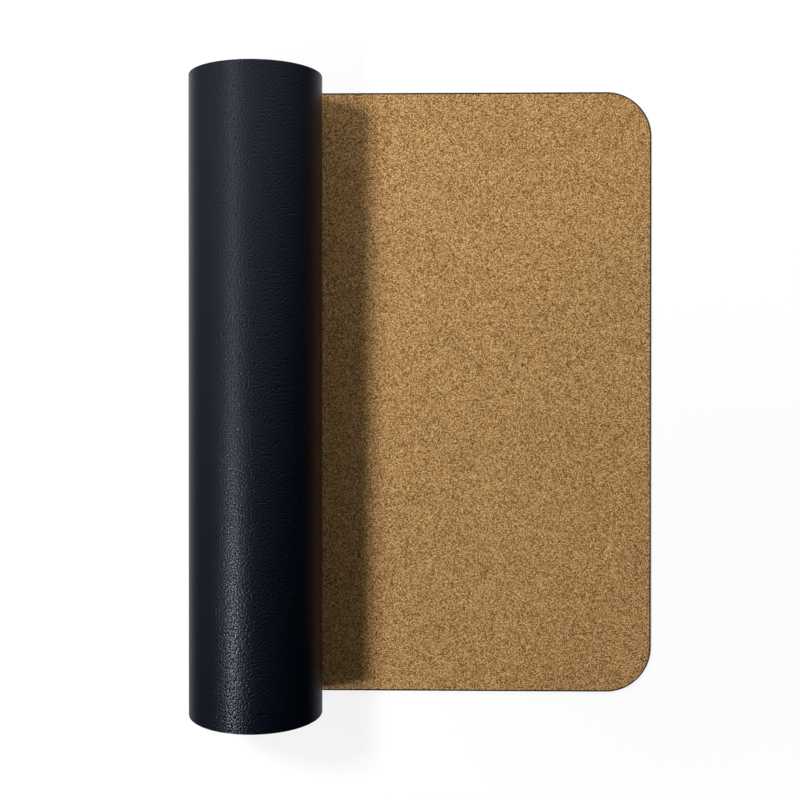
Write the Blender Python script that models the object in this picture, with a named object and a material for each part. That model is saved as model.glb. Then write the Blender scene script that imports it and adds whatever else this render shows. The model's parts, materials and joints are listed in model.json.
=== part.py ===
"""A two-sided desk mat: PU leather on one face, cork on the other, half rolled up.

The mat lies on a desk with its cork face up. Its left part is rolled up on itself with the leather outside.
Metres, +Z up, +X along the mat towards its free end, +Y along the roll. The origin is on the desk, under the
middle of the mat's box.

Each layer of the real mat is one sheet that bends everywhere. Here both are made in straight plates that
meet along parallel hinge lines, so that the roll can open and the free edge can lift. Every hinge line is an
empty, and each is the child of the one before it: turning the roll's hinges back to zero lays the mat flat.
"""

import math

import bmesh
import bpy

# The whole mat, laid flat
MAT_LENGTH = 0.800
MAT_WIDTH = 0.400
CORNER_RADIUS = 0.030

# Its layers
LEATHER_THICKNESS = 0.0009  # PU skin with its textile backing
GLUE_GAP = 0.0001
CORK_THICKNESS = 0.0010
CORK_SETBACK = 0.0012  # the cork stops this far inside the leather's edge
CORK_HEIGHT = LEATHER_THICKNESS + GLUE_GAP
THICKNESS = CORK_HEIGHT + CORK_THICKNESS

# The roll, seen along Y
ROLL_DIAMETER = 0.0840
TURN_PITCH = 0.0029  # from one turn to the next
PLATES_PER_TURN = 10
ROLL_PLATES = 23  # so 2.3 turns

# The free edge, which can be lifted
EDGE_LENGTH = 0.120
EDGE_STRIPS = 5
EDGE_BEND = math.radians(20)  # the most that two neighbouring strips turn against each other

END_GAP = 0.00015  # from each plate to its hinge line
CORNER_STEPS = 12  # straight stretches in each rounded corner

LEATHER_LOOK = ((0.010, 0.014, 0.024, 1), 0.42)
CORK_LOOK = ((0.480, 0.290, 0.120, 1), 0.85)

BEND_STEP = 2 * math.pi / PLATES_PER_TURN
SHRINK = TURN_PITCH / (2 * math.pi)  # how much the radius loses in each radian
FIRST_RADIUS = (ROLL_DIAMETER + TURN_PITCH) / 2 - THICKNESS  # of the cork face, where it leaves the desk


def clear_scene():
    for item in list(bpy.data.objects):
        bpy.data.objects.remove(item, do_unlink=True)


def material(name, look):
    color, roughness = look
    made = bpy.data.materials.new(name)
    made.use_nodes = True
    shader = made.node_tree.nodes["Principled BSDF"]
    shader.inputs["Base Color"].default_value = color
    shader.inputs["Roughness"].default_value = roughness
    shader.inputs["Metallic"].default_value = 0
    made.diffuse_color = color
    return made


def cork_radius(angle):
    return FIRST_RADIUS - SHRINK * angle


def spiral_point(angle):
    """(x, z) of the rolled cork face where it has turned by angle, from the line where it leaves the desk."""
    radius = cork_radius(angle)
    x = -radius * math.sin(angle) - SHRINK * (1 - math.cos(angle))
    z = FIRST_RADIUS - radius * math.cos(angle) - SHRINK * math.sin(angle)
    return x, z


def roll_plates():
    """(length, turn) of each plate of the roll, where turn is the bend at the hinge line that it starts from."""
    points = [spiral_point(BEND_STEP * k) for k in range(ROLL_PLATES + 1)]
    plates = []
    heading = 0
    for (x1, z1), (x2, z2) in zip(points, points[1:]):
        turn = (math.atan2(z2 - z1, x1 - x2) - heading) % (2 * math.pi)
        heading += turn
        plates.append((math.hypot(x2 - x1, z2 - z1), turn))
    return plates


def roll_left(plates):
    """The smallest x of the rolled plates' leather, from the line where the mat leaves the desk."""
    x = heading = left = 0
    for length, turn in plates:
        heading += turn
        for along in (END_GAP, length - END_GAP):
            left = min(left, x - along * math.cos(heading) - THICKNESS * math.sin(heading))
        x -= length * math.cos(heading)
    return left


def half_width(to_end, setback):
    """Half of a layer's width at a distance from the mat's end, where the corners are rounded."""
    radius = CORNER_RADIUS - setback
    into_corner = min(max(CORNER_RADIUS - to_end, 0), radius)
    return MAT_WIDTH / 2 - CORNER_RADIUS + math.sqrt(radius**2 - into_corner**2)


def outline(near, far, end, setback):
    """Corners, anticlockwise from above, of a plate from near to far along +X, with the mat's end at end."""
    radius = CORNER_RADIUS - setback
    far = min(far, end - setback)
    corner = end - CORNER_RADIUS
    stations = [corner + radius * math.sin(math.pi / 2 * k / CORNER_STEPS) for k in range(CORNER_STEPS)]
    stations = [near] + [x for x in stations if near < x < far] + [far]
    side = [(x, half_width(end - x, setback)) for x in stations]
    return [(x, -y) for x, y in side] + [(x, y) for x, y in reversed(side)]


def plate(name, parent, points, low, high, look):
    """A flat plate: an outline in its parent's XY plane, extruded from low to high."""
    shape = bmesh.new()
    face = shape.faces.new([shape.verts.new((x, y, low)) for x, y in points])
    raised = bmesh.ops.extrude_face_region(shape, geom=[face])["geom"]
    top = [item for item in raised if isinstance(item, bmesh.types.BMVert)]
    bmesh.ops.translate(shape, verts=top, vec=(0, 0, high - low))
    bmesh.ops.recalc_face_normals(shape, faces=shape.faces)
    mesh = bpy.data.meshes.new(name)
    shape.to_mesh(mesh)
    shape.free()
    mesh.materials.append(look)
    made = bpy.data.objects.new(name, mesh)
    made.parent = parent
    bpy.context.scene.collection.objects.link(made)


def hinge(name, parent, location, turn=0):
    """An empty on a hinge line, which runs along its Y axis."""
    made = bpy.data.objects.new(name, None)
    made.parent = parent
    made.location = location
    made.rotation_euler = (0, turn, 0)
    made.empty_display_size = 0.01
    bpy.context.scene.collection.objects.link(made)
    return made


def flat_sheet(mat, length, leather, cork):
    """The part of the mat that stays flat on the desk."""
    for name, low, high, look in (
        ("leather_flat", 0, LEATHER_THICKNESS, leather),
        ("cork_flat", CORK_HEIGHT, THICKNESS, cork),
    ):
        setback = CORK_SETBACK if look == cork else 0
        far_gap = END_GAP + high * math.tan(EDGE_BEND / 2)
        points = outline(END_GAP, length - far_gap, MAT_LENGTH, setback)
        plate(name, mat, points, low, high, look)


def roll(mat, plates, leather, cork):
    """The rolled part. Its hinge lines are on the cork face, which is the inside of every bend."""
    parent = hinge("hinge_roll_01", mat, (0, 0, THICKNESS), plates[0][1])
    to_end = sum(length for length, _ in plates)
    for number, (length, _) in enumerate(plates, start=1):
        for layer, low, high, setback, look in (
            ("leather", -THICKNESS, LEATHER_THICKNESS - THICKNESS, 0, leather),
            ("cork", -CORK_THICKNESS, 0, CORK_SETBACK, cork),
        ):
            far = length if number == len(plates) else length - END_GAP
            points = outline(END_GAP, far, to_end, setback)
            mirrored = [(-x, y) for x, y in reversed(points)]
            plate(f"{layer}_roll_{number:02d}", parent, mirrored, low, high, look)
        to_end -= length
        if number < len(plates):
            parent = hinge(f"hinge_roll_{number + 1:02d}", parent, (-length, 0, 0), plates[number][1])


def free_edge(mat, start, leather, cork):
    """The strips of the free edge. Their hinge lines are on the leather, which doesn't give when it bends."""
    strip = EDGE_LENGTH / EDGE_STRIPS
    parent = hinge("hinge_edge_1", mat, (start, 0, 0))
    for number in range(1, EDGE_STRIPS + 1):
        to_end = EDGE_LENGTH - strip * (number - 1)
        for layer, low, high, setback, look in (
            ("leather", 0, LEATHER_THICKNESS, 0, leather),
            ("cork", CORK_HEIGHT, THICKNESS, CORK_SETBACK, cork),
        ):
            gap = END_GAP + high * math.tan(EDGE_BEND / 2)
            far = strip if number == EDGE_STRIPS else strip - gap
            points = outline(gap, far, to_end, setback)
            plate(f"{layer}_edge_{number}", parent, points, low, high, look)
        if number < EDGE_STRIPS:
            parent = hinge(f"hinge_edge_{number + 1}", parent, (strip, 0, 0))


def main():
    clear_scene()
    leather = material("navy_leather", LEATHER_LOOK)
    cork = material("cork", CORK_LOOK)
    plates = roll_plates()
    flat_length = MAT_LENGTH - sum(length for length, _ in plates)
    middle = (roll_left(plates) + flat_length) / 2
    mat = hinge("mat", None, (-middle, 0, 0))
    edge_start = flat_length - EDGE_LENGTH
    flat_sheet(mat, edge_start, leather, cork)
    roll(mat, plates, leather, cork)
    free_edge(mat, edge_start, leather, cork)


main()
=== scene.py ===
"""The looks of the half-rolled desk mat: smooth sheets of PU leather and cork around the CAD's strips.

Metres, +Z up, in the CAD's frame. Each layer of the mat is one continuous surface, cut halfway between the
CAD's hinge lines, so that each hinge lies inside one piece. A place on the mat is given by along, the
distance from the line where the mat leaves the desk (negative in the roll), by across, and by depth below
the cork face.
"""

import json
import math
from collections import namedtuple

import bpy
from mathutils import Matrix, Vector

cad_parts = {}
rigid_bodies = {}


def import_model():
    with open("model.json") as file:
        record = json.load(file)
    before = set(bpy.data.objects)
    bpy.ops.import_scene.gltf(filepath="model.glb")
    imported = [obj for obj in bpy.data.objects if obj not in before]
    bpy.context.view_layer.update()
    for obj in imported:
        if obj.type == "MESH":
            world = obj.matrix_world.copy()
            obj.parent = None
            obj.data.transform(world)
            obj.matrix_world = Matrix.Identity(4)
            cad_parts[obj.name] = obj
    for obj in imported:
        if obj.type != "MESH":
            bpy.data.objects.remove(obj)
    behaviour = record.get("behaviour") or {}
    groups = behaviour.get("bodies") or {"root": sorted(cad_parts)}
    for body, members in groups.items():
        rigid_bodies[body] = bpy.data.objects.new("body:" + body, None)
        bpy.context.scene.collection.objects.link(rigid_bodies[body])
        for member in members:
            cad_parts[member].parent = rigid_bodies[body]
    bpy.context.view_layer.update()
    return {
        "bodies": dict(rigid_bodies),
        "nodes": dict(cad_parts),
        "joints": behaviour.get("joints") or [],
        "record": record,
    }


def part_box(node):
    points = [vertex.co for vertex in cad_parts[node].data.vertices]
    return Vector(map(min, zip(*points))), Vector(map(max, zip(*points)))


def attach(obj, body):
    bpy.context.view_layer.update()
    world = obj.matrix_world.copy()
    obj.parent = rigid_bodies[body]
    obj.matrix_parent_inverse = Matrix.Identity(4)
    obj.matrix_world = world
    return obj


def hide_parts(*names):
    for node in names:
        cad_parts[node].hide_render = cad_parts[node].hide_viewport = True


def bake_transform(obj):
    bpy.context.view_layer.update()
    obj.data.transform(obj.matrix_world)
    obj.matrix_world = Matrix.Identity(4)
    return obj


# The roll, as the CAD has it
ROLL_DIAMETER = 0.0840
TURN_PITCH = 0.0029
BEND_STEP = math.radians(36)

# The mat's outline and its layers
CORNER_RADIUS = 0.030
CORK_SETBACK = 0.0012  # the cork stops this far inside the leather's edge
CORK_DEPTHS = (0.0, 0.0010)
LEATHER_DEPTHS = (0.00102, 0.0020)
SKIN_THICKNESS = 0.0003
CORK_ROUNDING = (0.00015, 0.00005)  # of the edge, at the upper and at the lower face
LEATHER_ROUNDING = (0.00008, 0.00020)

# How finely the sheets are cut up
ROLL_FACET = math.radians(1.5)
FLAT_FACET = 0.001
CORNER_FACETS = 24
SPARE_FACET = 1e-6  # less than this share of a facet is rounding error
LIP_LENGTH = 0.0006  # each piece goes on this far inside its neighbour
LIP_INSET = 0.00005

# How far two bodies share a bend, as shares of half a strip's length
BLEND_REACH = 2.88  # to each side of the hinge line
FIRST_BLEND_BEFORE = 0.5  # at the first hinge, on the flat sheet's side
FIRST_BLEND = 3.0

SHEET_UV = "Sheet"

# The pale studio's brightness: as light on the mat, to the camera, and as mirrored in the leather
WORLD_FILL = 0.02
WORLD_SEEN = 0.93
GLOSS_LOW = 0.6
GLOSS_HIGH = 5.8
GLOSS_DESK = 0.45  # added for what the leather mirrors from below
GLOSS_AHEAD = 0.05  # the share left straight ahead, so that the leather isn't white from the front
GLOSS_COLOR = (0.90, 0.90, 1.0, 1)
WHITE = (1, 1, 1, 1)

# One piece of a layer: its name, its CAD node's ending, where it lies along the mat, how its two ends are
# made, and the bend that it crosses, as (parent, child, start, end)
Stretch = namedtuple("Stretch", "name node low high low_end high_end bend")


# ---------------------------------------------------------------- the mat's shape


class Mat:
    """Where the sheets are, from the frame's hinges and boxes."""

    def __init__(self, frame):
        hinges = {joint["name"]: joint for joint in frame["joints"]}
        self.roll_joints = [joint for joint in frame["joints"] if joint["name"].startswith("unroll")]
        self.lift_joints = [joint for joint in frame["joints"] if joint["name"].startswith("lift")]
        start = hinges["unroll"]["pos_m"]
        self.desk_line = start[0]
        self.cork_height = start[2]
        self.half_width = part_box("leather_flat")[1].y
        self.shrink = TURN_PITCH / (2 * math.pi)  # how much the radius loses in each radian
        self.first_radius = (ROLL_DIAMETER + TURN_PITCH) / 2 - self.cork_height
        self.lift_start = hinges["lift_free_edge"]["pos_m"][0] - self.desk_line
        self.strip = self.lift_joints[1]["pos_m"][0] - self.lift_joints[0]["pos_m"][0]
        self.free_end = self.lift_start + self.strip * len(self.lift_joints)
        self.inner_end = self.along(BEND_STEP * len(self.roll_joints))

    def radius(self, angle):
        return self.first_radius - self.shrink * angle

    def along(self, angle):
        """The distance along the cork face at which the roll has turned by angle."""
        return -(self.first_radius * angle - self.shrink * angle**2 / 2)

    def angle(self, along):
        if along >= 0:
            return 0.0
        root = self.first_radius**2 + 2 * self.shrink * along
        return (self.first_radius - math.sqrt(root)) / self.shrink

    def point(self, along, across, depth):
        angle = self.angle(along)
        radius = self.radius(angle) + depth
        x = max(along, 0) - radius * math.sin(angle) - self.shrink * (1 - math.cos(angle))
        z = self.first_radius - radius * math.cos(angle) - self.shrink * math.sin(angle)
        return Vector((self.desk_line + x, across, self.cork_height + z))

    def direction(self, along, ahead, across, down):
        """A direction given as parts along the mat, across it and from cork to leather."""
        angle = self.angle(along)
        forward = Vector((math.cos(angle), 0, -math.sin(angle)))
        outward = Vector((-math.sin(angle), 0, -math.cos(angle)))
        return (forward * ahead + Vector((0, across, 0)) + outward * down).normalized()


class Layer:
    """One sheet, with its section at the rim, from the upper face round the edge to the lower face.

    Each point of the section is (inset from the edge, depth, normal's outward part, normal's downward part).
    """

    def __init__(self, name, setback, depths, rounding, skin_from=None):
        """skin_from is the depth at which a woven backing ends and the skin below it begins."""
        self.name = name
        self.setback = setback
        top, bottom = depths
        upper, lower = rounding
        slant = math.sin(math.pi / 4)
        self.points = [
            (upper, top, 0, -1),
            (upper * (1 - slant), top + upper * (1 - slant), slant, -slant),
            (0, top + upper, 1, 0),
            (0, bottom - lower, 1, 0),
            (lower * (1 - slant), bottom - lower * (1 - slant), slant, slant),
            (lower, bottom, 0, 1),
        ]
        self.backing_rows = 0
        if skin_from is not None:
            self.backing_rows = 3
            self.points.insert(self.backing_rows, (0, skin_from, 1, 0))
        self.middle = (top + bottom) / 2
        steps = [math.dist(a[:2], b[:2]) for a, b in zip(self.points, self.points[1:])]
        count = len(self.points)
        if skin_from is None:
            self.path = [sum(steps[:row]) for row in range(count)]  # from the upper face, for the flat map
        else:
            self.path = [sum(steps[row:]) for row in range(count)]  # from the lower face

    def shrunk(self, point, by):
        inset, depth = point[:2]
        return inset + by, depth + (by if depth < self.middle else -by)

    def material(self, row):
        """The number of the material from a row of the section on: 1 for the backing, 0 for the rest."""
        return 1 if row < self.backing_rows else 0


class Station:
    """A line across a piece, at a distance along the mat or at an angle of its rounded corners."""

    def __init__(self, along, corner=None, end_sign=0, shrink=0.0):
        self.along = along  # of the line, or of the corners' centres
        self.corner = corner
        self.end_sign = end_sign
        self.shrink = shrink

    def rim(self, mat, layer, inset):
        """(along, across, outward's along part, outward's across part) of the rim at that inset, at +Y."""
        if self.corner is None:
            return self.along, mat.half_width - layer.setback - inset, 0.0, 1.0
        radius = CORNER_RADIUS - layer.setback - inset
        ahead, aside = math.sin(self.corner), math.cos(self.corner)
        along = self.along + self.end_sign * radius * ahead
        return along, mat.half_width - CORNER_RADIUS + radius * aside, self.end_sign * ahead, aside


def spaced(first, last, step):
    """Even marks from first to last, at most a step apart."""
    count = max(1, math.ceil(abs(last - first) / step - SPARE_FACET))
    return [first + (last - first) * k / count for k in range(count + 1)]


def straight_marks(mat, low, high):
    """Distances along the mat from low to high, close together because any part of it may bend."""
    marks = []
    if low < 0:
        marks = [mat.along(angle) for angle in spaced(mat.angle(low), mat.angle(min(high, 0)), ROLL_FACET)]
    if high > 0:
        flat = spaced(max(low, 0), high, FLAT_FACET)
        marks += flat[1:] if marks else flat
    return marks


def stations_of(mat, stretch):
    """The stations of a piece. Its ends are "cut", "rounded", or "lip": carried on inside the neighbour."""
    low, high = stretch.low, stretch.high
    first = low + CORNER_RADIUS if stretch.low_end == "rounded" else low
    last = high - CORNER_RADIUS if stretch.high_end == "rounded" else high
    stations = [Station(mark) for mark in straight_marks(mat, first, last)]
    turns = [math.pi / 2 * (k + 1) / CORNER_FACETS for k in range(CORNER_FACETS)]
    if stretch.low_end == "rounded":
        stations = [Station(first, turn, -1) for turn in reversed(turns)] + stations
    if stretch.high_end == "rounded":
        stations += [Station(last, turn, 1) for turn in turns]
    if stretch.low_end == "lip":
        lip = [Station(low - LIP_LENGTH, shrink=LIP_INSET), Station(low, shrink=LIP_INSET)]
        stations = lip + stations
    if stretch.high_end == "lip":
        stations += [Station(high, shrink=LIP_INSET), Station(high + LIP_LENGTH, shrink=LIP_INSET)]
    return stations


class Shell:
    """A piece's closed surface, with its normals and its flat map worked out from the true shape."""

    def __init__(self, mat, layer, stations):
        self.mat = mat
        self.layer = layer
        self.vertices = []
        self.faces = []  # (corners, material's number), where a corner is (vertex, normal, place on the map)
        self.rims = [[self.rim_pair(station, point) for point in layer.points] for station in stations]
        for index, (here, there) in enumerate(zip(stations, stations[1:])):
            step = there.shrink - here.shrink
            self.add_band(index, toward=math.copysign(1, step) if step else 0)
        self.add_end(0, -1, stations[0].corner is not None)
        self.add_end(len(stations) - 1, 1, stations[-1].corner is not None)

    def rim_pair(self, station, point):
        """Adds a point of the section at both sides of a station, and says where those two are."""
        inset, depth = self.layer.shrunk(point, station.shrink)
        along, across, ahead, aside = station.rim(self.mat, self.layer, inset)
        pair = []
        for side in (1, -1):
            pair.append((len(self.vertices), along, side * across, ahead, side * aside))
            self.vertices.append(self.mat.point(along, side * across, depth))
        return pair

    def corner(self, index, row, side, normal, on_face=False):
        vertex, along, across, ahead, aside = self.rims[index][row][side]
        path = 0 if on_face else self.layer.path[row]
        return vertex, self.mat.direction(along, *normal), (along + ahead * path, across + aside * path)

    def add_face(self, corners, row):
        """Adds a face, turned the way its normals point."""
        places = [self.vertices[vertex] for vertex, _, _ in corners]
        facing = Vector((0, 0, 0))
        for a, b in zip(places, places[1:] + places[:1]):
            facing += a.cross(b)
        wanted = sum((normal for _, normal, _ in corners), Vector((0, 0, 0)))
        if facing.dot(wanted) < 0:
            corners = corners[::-1]
        self.faces.append((corners, self.layer.material(row)))

    def add_band(self, index, toward):
        """Adds the faces from one station to the next. At a lip's step they all face toward, 1 or -1."""
        last_row = len(self.layer.points) - 1
        for row, down in ((0, -1), (last_row, 1)):
            normal = (toward, 0, 0) if toward else (0, 0, down)
            around = ((index, 0), (index, 1), (index + 1, 1), (index + 1, 0))
            self.add_face([self.corner(k, row, side, normal, on_face=True) for k, side in around], row)
        for row in range(last_row):
            for side in (0, 1):
                corners = []
                for k, r in ((index, row), (index, row + 1), (index + 1, row + 1), (index + 1, row)):
                    _, _, _, ahead, aside = self.rims[k][r][side]
                    out, down = self.layer.points[r][2:]
                    normal = (toward, 0, 0) if toward else (ahead * out, aside * out, down)
                    corners.append(self.corner(k, r, side, normal))
                self.add_face(corners, row)

    def add_end(self, index, sign, is_rounded):
        """Closes the piece at its first or last station."""
        for row in range(len(self.layer.points) - 1):
            corners = []
            for r, side in ((row, 0), (row + 1, 0), (row + 1, 1), (row, 1)):
                out, down = self.layer.points[r][2:]
                normal = (sign * out, 0, down) if is_rounded else (sign, 0, 0)
                corners.append(self.corner(index, r, side, normal))
            self.add_face(corners, row)

    def make_object(self, name, materials):
        mesh = bpy.data.meshes.new(name)
        mesh.from_pydata(self.vertices, [], [[corner[0] for corner in corners] for corners, _ in self.faces])
        loops = [corner for corners, _ in self.faces for corner in corners]
        mesh.uv_layers.new(name=SHEET_UV)
        mesh.uv_layers[SHEET_UV].data.foreach_set("uv", [value for _, _, place in loops for value in place])
        mesh.polygons.foreach_set("material_index", [number for _, number in self.faces])
        for material in materials:
            mesh.materials.append(material)
        mesh.shade_smooth()
        mesh.normals_split_custom_set([normal for _, normal, _ in loops])
        made = bpy.data.objects.new(name, mesh)
        bpy.context.scene.collection.objects.link(made)
        return made


# ---------------------------------------------------------------- the pieces of each layer


def roll_stretches(mat, first_half):
    """The rolled pieces. first_half is how far the first of them reaches over the flat part."""
    half = BEND_STEP / 2
    stretches = []
    for number, joint in enumerate(mat.roll_joints, start=1):
        is_last = number == len(mat.roll_joints)
        hinge = Vector(joint["pos_m"])
        angle = BEND_STEP * (number - 1)
        if number == 1:
            high = first_half
            start = hinge + Vector((FIRST_BLEND_BEFORE * first_half, 0, 0))
            end = start - Vector((FIRST_BLEND * first_half, 0, 0))
        else:
            high = mat.along(angle - half)
            onward = Vector((-math.cos(angle), 0, math.sin(angle)))
            reach = onward * (BLEND_REACH * mat.radius(angle) * math.sin(half))
            start, end = hinge - reach, hinge + reach
        low = mat.inner_end if is_last else mat.along(angle + half)
        low_end = "rounded" if is_last else "lip"
        bend = (joint["parent"], joint["child"], start, end)
        stretches.append(Stretch(f"turn_{number:02d}", f"roll_{number:02d}", low, high, low_end, "cut", bend))
    return stretches


def lift_stretches(mat):
    """The pieces of the free edge."""
    half_strip = mat.strip / 2
    stretches = []
    for number, joint in enumerate(mat.lift_joints, start=1):
        is_last = number == len(mat.lift_joints)
        hinge = Vector(joint["pos_m"])
        middle = mat.lift_start + mat.strip * (number - 1)
        if number == 1:
            start = hinge - Vector((FIRST_BLEND_BEFORE * half_strip, 0, 0))
            end = start + Vector((FIRST_BLEND * half_strip, 0, 0))
        else:
            reach = Vector((BLEND_REACH * half_strip, 0, 0))
            start, end = hinge - reach, hinge + reach
        low = middle - half_strip
        high = mat.free_end if is_last else middle + half_strip
        high_end = "rounded" if is_last else "lip"
        bend = (joint["parent"], joint["child"], start, end)
        stretches.append(Stretch(f"lift_{number}", f"edge_{number}", low, high, "cut", high_end, bend))
    return stretches


def stretches_of(mat):
    first_half = mat.first_radius * math.sin(BEND_STEP / 2)
    main_end = mat.lift_start - mat.strip / 2
    main_stretch = Stretch("main", "flat", first_half, main_end, "lip", "lip", None)
    return [main_stretch] + roll_stretches(mat, first_half) + lift_stretches(mat)


def build_layer(mat, layer, materials):
    """Makes a layer's pieces, each with its own stretch of the length, in place of the CAD's strips."""
    for stretch in stretches_of(mat):
        name = f"{layer.name}_{stretch.name}"
        piece = Shell(mat, layer, stations_of(mat, stretch)).make_object(name, materials)
        if stretch.bend is None:
            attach(piece, "flat_sheet")
        else:
            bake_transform(piece)
        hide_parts(f"{layer.name}_{stretch.node}")


# ---------------------------------------------------------------- materials


class Nodes:
    """Adds nodes to a node tree and links them up."""

    def __init__(self, tree):
        self.tree = tree

    def add(self, kind, inputs=None, **settings):
        node = self.tree.nodes.new(f"ShaderNode{kind}")
        for key, value in settings.items():
            setattr(node, key, value)
        for key, value in (inputs or {}).items():
            self.put(node.inputs[key], value)
        return node

    def put(self, socket, value):
        if isinstance(value, bpy.types.NodeSocket):
            self.tree.links.new(value, socket)
        else:
            socket.default_value = value

    def math(self, operation, a, b=0.0, c=0.0):
        return self.add("Math", {0: a, 1: b, 2: c}, operation=operation).outputs[0]

    def smooth(self, value, low, high, to_low=0.0, to_high=1.0):
        """Goes smoothly from to_low to to_high while the value goes from low to high."""
        inputs = {"Value": value, "From Min": low, "From Max": high, "To Min": to_low, "To Max": to_high}
        return self.add("MapRange", inputs, interpolation_type="SMOOTHSTEP").outputs["Result"]

    def ramp(self, value, stops):
        node = self.add("ValToRGB", {"Fac": value})
        elements = node.color_ramp.elements
        while len(elements) < len(stops):
            elements.new(0.5)
        for element, (position, color) in zip(elements, stops):
            element.position = position
            element.color = (*color, 1)
        return node.outputs["Color"]

    def mix(self, factor, a, b, blend="MIX", kind="RGBA"):
        node = self.add("Mix", data_type=kind, blend_type=blend)
        self.put(node.inputs["Factor"], factor)
        self.put(node.inputs["A"], a)
        self.put(node.inputs["B"], b)
        return node.outputs["Result"]


class Surface(Nodes):
    """A material's nodes. Patterns lie on the sheet's flat map, so that a scale is a count in each metre."""

    def __init__(self, name):
        self.material = bpy.data.materials.new(name)
        self.material.use_nodes = True
        super().__init__(self.material.node_tree)
        self.shader = self.tree.nodes["Principled BSDF"]

    def set(self, socket, value):
        self.put(self.shader.inputs[socket], value)

    def place(self):
        return self.add("UVMap", uv_map=SHEET_UV).outputs["UV"]

    def noise(self, place, scale, detail=2.0, roughness=0.5, output="Fac"):
        inputs = {"Vector": place, "Scale": scale, "Detail": detail, "Roughness": roughness}
        return self.add("TexNoise", inputs, noise_dimensions="2D").outputs[output]

    def cells(self, place, scale, feature="F1", randomness=1.0):
        inputs = {"Vector": place, "Scale": scale, "Randomness": randomness}
        return self.add("TexVoronoi", inputs, voronoi_dimensions="2D", feature=feature).outputs

    def inside_cells(self, place, scale, line_width):
        """0 on the lines between the cells and 1 inside them."""
        from_line = self.cells(place, scale, "DISTANCE_TO_EDGE")["Distance"]
        return self.smooth(from_line, 0.0, line_width)

    def draws(self, cells):
        """Three random numbers for each cell."""
        return self.add("SeparateColor", {"Color": cells["Color"]}).outputs

    def warped(self, place, scale, amount):
        """The place moved about by noise, so that cells don't look like plain polygons."""
        noise = self.noise(place, scale, detail=1.0, output="Color")
        centred = self.add("VectorMath", {0: noise, 1: (0.5, 0.5, 0.5)}, operation="SUBTRACT")
        moved = self.add("VectorMath", {0: centred.outputs[0], "Scale": amount}, operation="SCALE")
        return self.add("VectorMath", {0: place, 1: moved.outputs[0]}).outputs[0]

    def bump(self, height, distance):
        self.set("Normal", self.add("Bump", {"Height": height, "Distance": distance}).outputs["Normal"])


def leather_material():
    """Embossed PU skin: low pebbles a little over a millimetre across, with fine creases between them,
    coloured darker as painted shade.
    """
    pebble_scale = 720
    crease_height, wander_height = 0.10, 0.15  # as shares of a pebble's dome
    # painted shade: the colour of the creases between the pebbles
    crease_shade_color = (0.0005, 0.0009, 0.0024, 1)
    dark_skin = (0.0007, 0.0015, 0.0042, 1)
    light_skin = (0.0011, 0.0021, 0.0054, 1)
    patch_roughness = 0.05

    leather = Surface("pu_leather")
    place = leather.place()
    warped = leather.warped(place, 600, amount=0.0006)
    from_middle = leather.cells(warped, pebble_scale)["Distance"]
    drop = leather.math("MULTIPLY", leather.math("MULTIPLY", from_middle, from_middle), -1.0)
    pebble = leather.inside_cells(warped, pebble_scale, line_width=0.14)
    height = leather.math("MULTIPLY_ADD", pebble, crease_height, drop)
    height = leather.math("MULTIPLY_ADD", leather.noise(place, 1300), wander_height, height)
    leather.bump(height, distance=0.00015)

    patches = leather.noise(place, 22, detail=3.0, roughness=0.6)
    skin = leather.mix(patches, dark_skin, light_skin)
    # painted shade: the lines between the pebbles get a darker colour than the skin
    leather.set("Base Color", leather.mix(pebble, crease_shade_color, skin))
    rough = leather.smooth(pebble, 0.0, 1.0, to_low=0.26, to_high=0.21)
    leather.set("Roughness", leather.math("MULTIPLY_ADD", patches, patch_roughness, rough))
    leather.set("Specular IOR Level", 0.08)
    leather.set("Specular Tint", (0.82, 0.92, 1.0, 1))
    return leather.material


def backing_material():
    """The woven cloth under the skin, seen as a dark line round the cork and at the cut edges."""
    fibre_colors = ((0.3, (0.006, 0.006, 0.007)), (0.7, (0.022, 0.020, 0.018)))
    fibre_height = 0.6  # as a share of the weave's

    cloth = Surface("backing_cloth")
    place = cloth.place()
    fibres = cloth.noise(place, 2500, detail=3.0, roughness=0.7)
    weave = cloth.cells(place, 1800, randomness=0.3)["Distance"]
    cloth.set("Base Color", cloth.ramp(fibres, fibre_colors))
    cloth.set("Roughness", 0.9)
    cloth.set("Specular IOR Level", 0.2)
    cloth.bump(cloth.math("MULTIPLY_ADD", fibres, fibre_height, weave), distance=0.00008)
    return cloth.material


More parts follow.
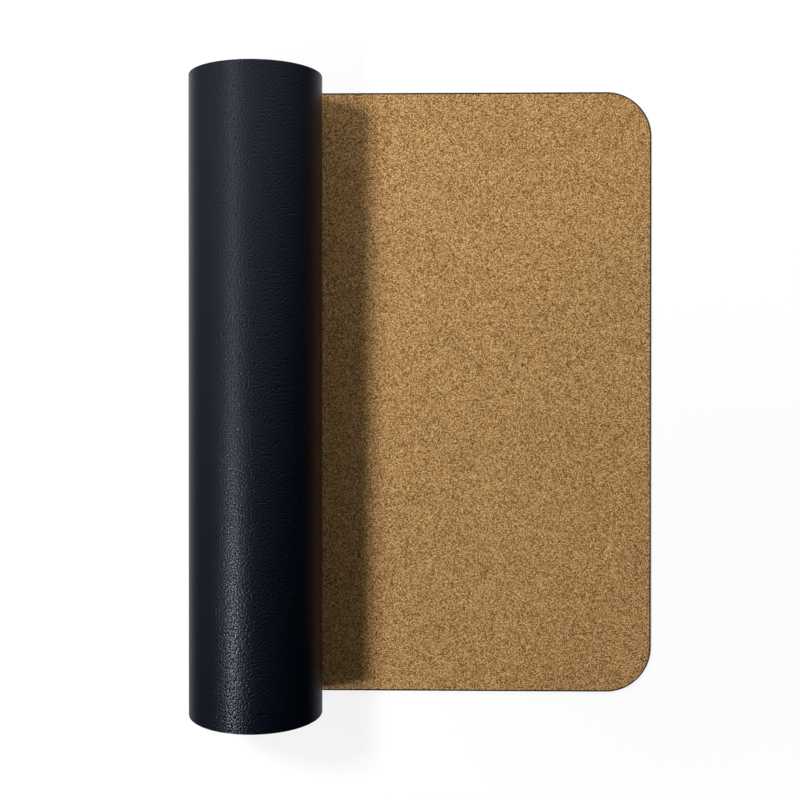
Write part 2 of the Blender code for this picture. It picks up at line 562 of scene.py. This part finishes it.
def cork_material():
    """Agglomerated cork: pressed granules about half a millimetre across, with darker chips among them."""
    granule_scale = 1900
    chip_scale = 1500
    pressing = (1.0, 1.12, 1.0)  # the granules are a little shorter across the mat
    granule_colors = (
        (0.00, (0.100, 0.045, 0.013)),
        (0.25, (0.230, 0.112, 0.036)),
        (0.50, (0.560, 0.306, 0.110)),
        (0.75, (0.860, 0.510, 0.208)),
        (1.00, (0.990, 0.680, 0.340)),
    )
    binder_color = (0.190, 0.093, 0.030, 1)
    chip_color = (0.080, 0.037, 0.011, 1)
    chip_opacity = 0.8
    no_chip_below = 0.86  # of the random number that each cell has
    cloud_tints = ((0.3, (0.96, 0.96, 0.95)), (0.7, (1.04, 1.04, 1.05)))
    granule_height, grain_height = 0.35, 0.5

    cork = Surface("agglomerated_cork")
    place = cork.place()
    pressed = cork.add("VectorMath", {0: place, 1: pressing}, operation="MULTIPLY").outputs[0]
    warped = cork.warped(pressed, 2000, amount=0.0003)
    granules = cork.draws(cork.cells(warped, granule_scale))
    granule = cork.inside_cells(warped, granule_scale, line_width=0.14)
    grain = cork.noise(pressed, 3600, roughness=0.6)
    shade = cork.smooth(grain, 0.3, 0.7, to_low=0.52, to_high=1.47)
    granule_color = cork.mix(1.0, cork.ramp(granules["Red"], granule_colors), shade, "MULTIPLY")
    color = cork.mix(granule, binder_color, granule_color)

    chips = cork.cells(warped, chip_scale)
    is_chip = cork.math("GREATER_THAN", cork.draws(chips)["Green"], no_chip_below)
    chip = cork.math("MULTIPLY", is_chip, cork.smooth(chips["Distance"], 0.42, 0.30))
    color = cork.mix(cork.math("MULTIPLY", chip, chip_opacity), color, chip_color)
    clouds = cork.ramp(cork.noise(place, 14, detail=3.0, roughness=0.6), cloud_tints)
    cork.set("Base Color", cork.mix(1.0, color, clouds, "MULTIPLY"))
    cork.set("Roughness", cork.smooth(granule, 0.0, 1.0, to_low=0.95, to_high=0.80))
    cork.set("Specular IOR Level", 0.05)

    height = cork.math("MULTIPLY_ADD", granules["Blue"], granule_height, granule)
    height = cork.math("MULTIPLY_ADD", grain, grain_height, height)
    cork.bump(cork.math("SUBTRACT", height, chip), distance=0.00010)
    return cork.material


def floor_material():
    """A pale floor that glows a little more further out, where the lamps' light gets weaker."""
    glow_near, glow_far = 0.65, 0.93
    near, far = 0.1, 0.8

    floor = Surface("pale_floor")
    floor.set("Base Color", (0.35, 0.35, 0.35, 1))
    floor.set("Roughness", 0.9)
    floor.set("Specular IOR Level", 0.0)
    place = floor.add("NewGeometry").outputs["Position"]
    from_mat = floor.add("VectorMath", {0: place}, operation="LENGTH").outputs["Value"]
    floor.set("Emission Color", WHITE)
    floor.set("Emission Strength", floor.smooth(from_mat, near, far, glow_near, glow_far))
    return floor.material


# ---------------------------------------------------------------- floor, light and camera


def build_floor():
    reach = 8.0
    below_mat = 0.0003
    mesh = bpy.data.meshes.new("floor")
    corners = [(-reach, -reach, 0), (reach, -reach, 0), (reach, reach, 0), (-reach, reach, 0)]
    mesh.from_pydata(corners, [], [(0, 1, 2, 3)])
    mesh.materials.append(floor_material())
    floor = bpy.data.objects.new("floor", mesh)
    floor.location.z = -below_mat
    floor.visible_glossy = False
    bpy.context.scene.collection.objects.link(floor)


def area_light(name, place, target, size, power, diffuse=True, glossy=True):
    """size is (level side, steep side). diffuse and glossy say which kinds of reflection show the light."""
    data = bpy.data.lights.new(name, "AREA")
    data.shape = "RECTANGLE"
    data.size, data.size_y = size
    data.energy = power
    light = bpy.data.objects.new(name, data)
    light.location = place
    light.rotation_euler = (Vector(target) - Vector(place)).to_track_quat("-Z", "Y").to_euler()
    light.visible_camera = False
    light.visible_diffuse = diffuse
    light.visible_glossy = glossy
    bpy.context.scene.collection.objects.link(light)


def build_lights(mat):
    """Two lamps on the roll's left, one beyond the mat, and two lights that only the leather mirrors."""
    distance = 1.2
    lamp_elevation = 60.7
    gloss_elevation = 57
    roll = Vector((mat.desk_line, 0, ROLL_DIAMETER / 2))

    def beside(elevation, across):
        rise = math.radians(elevation)
        return roll + Vector((-math.cos(rise) * distance, across, math.sin(rise) * distance))

    lamp_far = beside(lamp_elevation, 0.46)
    lamp_near = beside(lamp_elevation, -0.34)
    area_light("lamp_far", lamp_far, roll, size=(0.2, 0.24), power=9.5, glossy=False)
    area_light("lamp_near", lamp_near, roll, size=(0.2, 0.24), power=9.9, glossy=False)
    area_light("beyond", (0.1, 0.56, 0.36), (0, 0, 0), size=(1.1, 0.4), power=2.6, glossy=False)

    spot = beside(gloss_elevation, -0.46)
    panel = beside(gloss_elevation, 0.20)
    opposite_panel = roll + Vector((0, 0.20, 0))
    area_light("spot", spot, roll, size=(0.12, 0.07), power=13.5, diffuse=False)
    area_light("panel", panel, opposite_panel, size=(1.2, 0.22), power=10, diffuse=False)


def build_world():
    """The studio round the mat: bright for the camera, dim as light, and uneven as the leather mirrors it."""
    world = bpy.data.worlds.new("studio")
    bpy.context.scene.world = world
    world.use_nodes = True
    nodes = Nodes(world.node_tree)
    rays = nodes.add("LightPath").outputs
    direction = nodes.add("SeparateXYZ", {"Vector": nodes.add("TexCoord").outputs["Generated"]}).outputs

    leftward = nodes.math("MULTIPLY", direction["X"], -0.25)
    beyond = nodes.smooth(nodes.math("ADD", direction["Y"], leftward), -0.45, 0.6)
    overhead = nodes.smooth(direction["Z"], -0.5, 1.0, GLOSS_LOW, GLOSS_HIGH)
    ahead = nodes.smooth(direction["Y"], 0.45, 0.95, 1.0, GLOSS_AHEAD)
    desk = nodes.smooth(direction["Z"], -0.4, -0.75, 0.0, GLOSS_DESK)
    gloss = nodes.math("MULTIPLY", nodes.math("MULTIPLY", beyond, overhead), ahead)
    gloss = nodes.math("ADD", gloss, desk)

    strength = nodes.mix(rays["Is Glossy Ray"], WORLD_FILL, gloss, kind="FLOAT")
    strength = nodes.mix(rays["Is Camera Ray"], strength, WORLD_SEEN, kind="FLOAT")
    background = nodes.tree.nodes["Background"]
    nodes.put(background.inputs["Color"], nodes.mix(rays["Is Glossy Ray"], WHITE, GLOSS_COLOR))
    nodes.put(background.inputs["Strength"], strength)


def build_camera():
    data = bpy.data.cameras.new("camera")
    data.sensor_width = 36
    data.lens = 47.98
    data.shift_x = 0.0596
    data.shift_y = -0.0517
    camera = bpy.data.objects.new("camera", data)
    camera.location = (-0.0378, 0.0261, 0.7147)
    camera.rotation_euler = (-0.0051, 0.0164, 0)
    bpy.context.scene.collection.objects.link(camera)
    bpy.context.scene.camera = camera


def main():
    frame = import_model()
    mat = Mat(frame)
    skin_from = LEATHER_DEPTHS[1] - SKIN_THICKNESS
    leather = Layer("leather", 0.0, LEATHER_DEPTHS, LEATHER_ROUNDING, skin_from)
    cork = Layer("cork", CORK_SETBACK, CORK_DEPTHS, CORK_ROUNDING)
    build_layer(mat, leather, (leather_material(), backing_material()))
    build_layer(mat, cork, (cork_material(),))
    build_floor()
    build_lights(mat)
    build_world()
    build_camera()
    bpy.context.scene.view_settings.view_transform = "Standard"


main()
